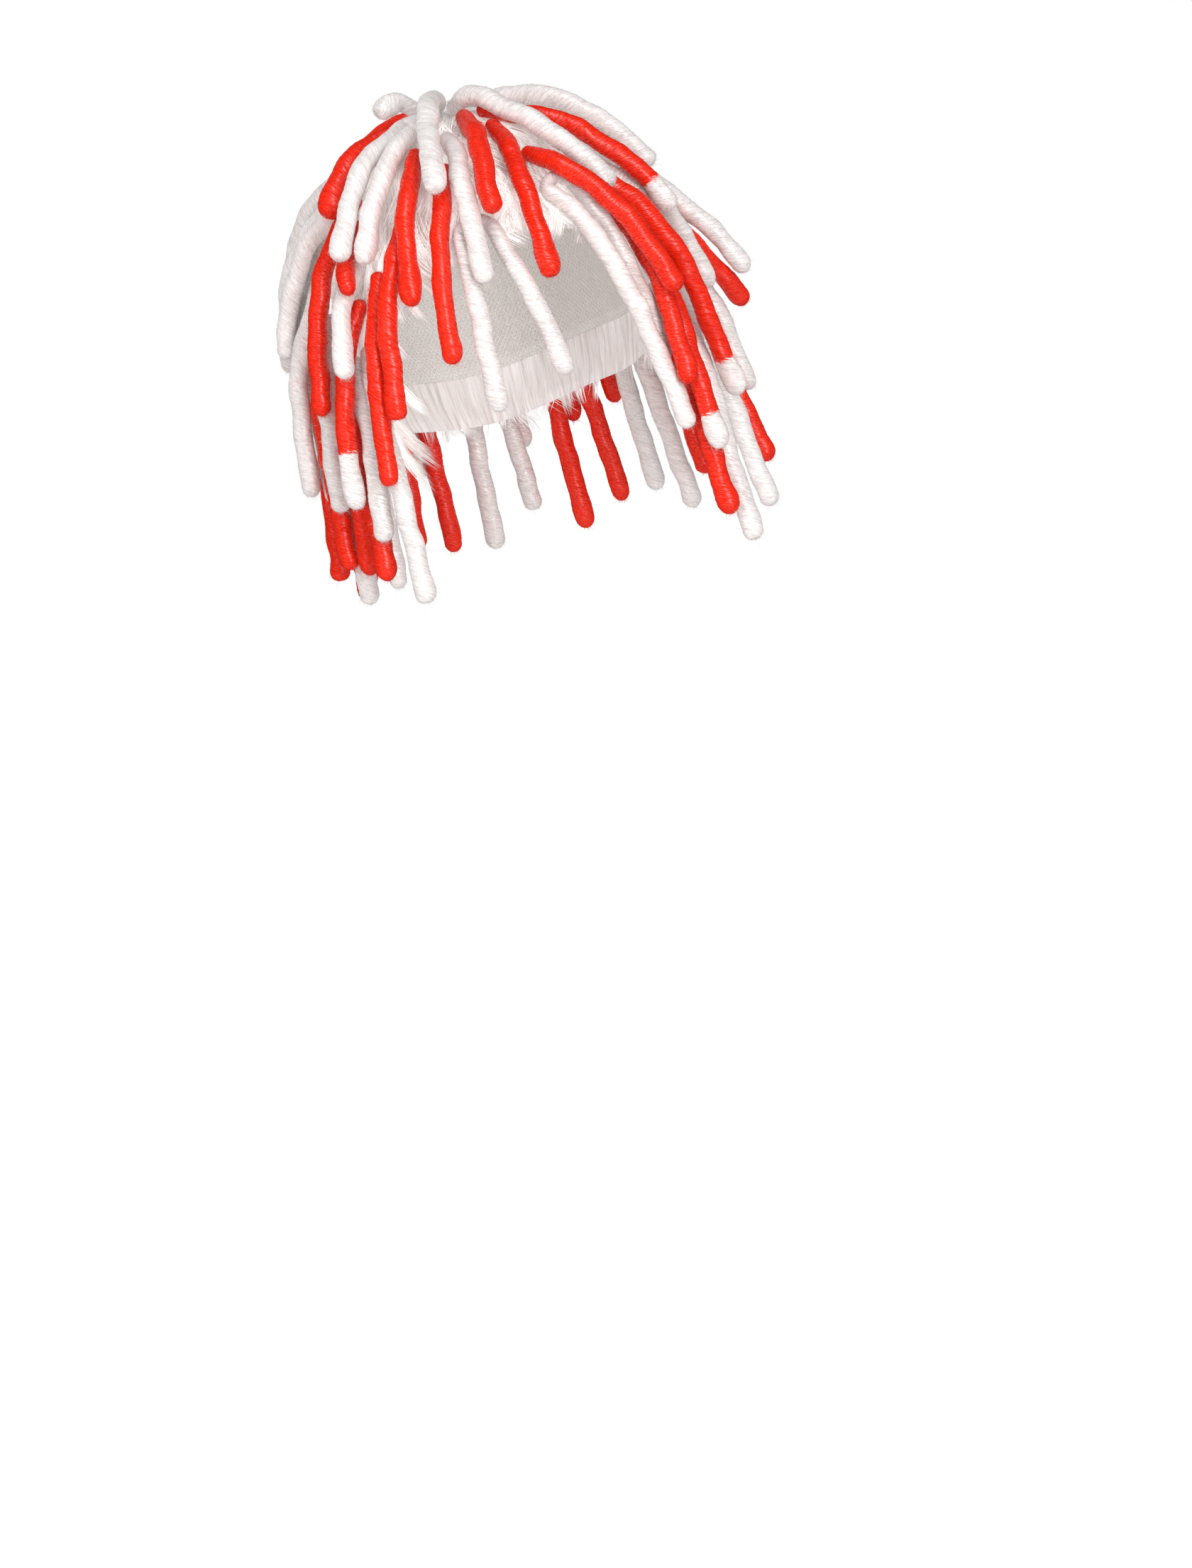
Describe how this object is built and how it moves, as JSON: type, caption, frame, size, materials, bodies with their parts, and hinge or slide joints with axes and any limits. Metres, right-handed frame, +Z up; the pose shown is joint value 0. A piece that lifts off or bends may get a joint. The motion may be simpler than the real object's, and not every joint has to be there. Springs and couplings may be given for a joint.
{
  "type": "dreadlock wig",
  "caption": "Two-colour dreadlock wig: thread-wound red and white locks hanging from a hollow net cap covered in short white hair.",
  "frame": {"origin": "inside top of the cap, where the crown of the head bears", "axes": "+Z up along the head, the face looks along -Y, +X is the wearer's left"},
  "size_m": [0.2428, 0.2544, 0.2537],
  "materials": {
    "cap_net": "matte stretch net",
    "short_hair": "silky straight fibre",
    "red_thread": "satin wound thread",
    "white_thread": "satin wound thread"
  },
  "bodies": {
    "root": {"cap": "cap_net", "red_lock_03": "red_thread", "red_lock_04": "red_thread", "red_lock_05": "red_thread", "red_lock_07": "red_thread", "red_lock_11": "red_thread", "red_lock_12": "red_thread", "red_lock_13": "red_thread", "red_lock_14": "red_thread", "red_lock_16": "red_thread", "red_lock_18": "red_thread", "red_lock_19": "red_thread", "red_lock_20": "red_thread", "red_lock_24": "red_thread", "red_lock_25": "red_thread", "red_lock_26": "red_thread", "red_lock_28": "red_thread", "red_lock_32": "red_thread", "red_lock_34": "red_thread", "red_lock_35": "red_thread", "red_lock_38": "red_thread", "red_lock_40": "red_thread", "red_lock_42": "red_thread", "red_lock_43": "red_thread", "red_lock_45": "red_thread", "red_lock_47": "red_thread", "red_lock_50": "red_thread", "red_lock_52": "red_thread", "red_lock_54": "red_thread", "red_lock_56": "red_thread", "red_lock_58": "red_thread", "short_hair": "short_hair", "white_lock_01": "white_thread", "white_lock_02": "white_thread", "white_lock_06": "white_thread", "white_lock_08": "white_thread", "white_lock_09": "white_thread", "white_lock_10": "white_thread", "white_lock_15": "white_thread", "white_lock_17": "white_thread", "white_lock_21": "white_thread", "white_lock_22": "white_thread", "white_lock_23": "white_thread", "white_lock_27": "white_thread", "white_lock_29": "white_thread", "white_lock_30": "white_thread", "white_lock_31": "white_thread", "white_lock_33": "white_thread", "white_lock_36": "white_thread", "white_lock_37": "white_thread", "white_lock_39": "white_thread", "white_lock_41": "white_thread", "white_lock_44": "white_thread", "white_lock_46": "white_thread", "white_lock_48": "white_thread", "white_lock_49": "white_thread", "white_lock_51": "white_thread", "white_lock_53": "white_thread", "white_lock_55": "white_thread", "white_lock_57": "white_thread"}
  },
  "joints": []
}
